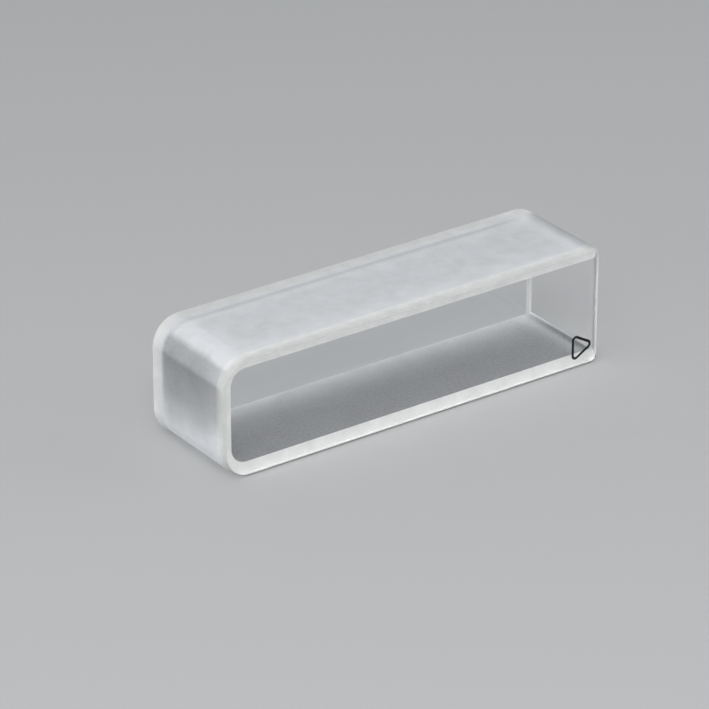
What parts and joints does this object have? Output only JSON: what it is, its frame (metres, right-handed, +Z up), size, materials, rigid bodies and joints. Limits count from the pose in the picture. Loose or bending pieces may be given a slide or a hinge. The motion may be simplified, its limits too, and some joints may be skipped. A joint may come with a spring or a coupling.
{
  "type": "cuvette",
  "caption": "Square quartz cell with a closed, round-cornered base and an open mouth, frosted side walls and clear windows, which holds a liquid sample in a light beam.",
  "frame": {"origin": "middle of the footprint, on the plane that the cell lies on", "axes": "+X from the closed base to the open mouth, +Y from the front window to the rear window, +Z up, with the cell lying on one frosted side"},
  "size_m": [0.045, 0.0126, 0.0125],
  "materials": {
    "ground_glass": "fine ground, matt white, lets light through",
    "clear_glass": "optically polished, with ground edges"
  },
  "bodies": {
    "root": {"frosted_frame": "ground_glass", "front_window": "clear_glass", "rear_window": "clear_glass"}
  },
  "joints": []
}
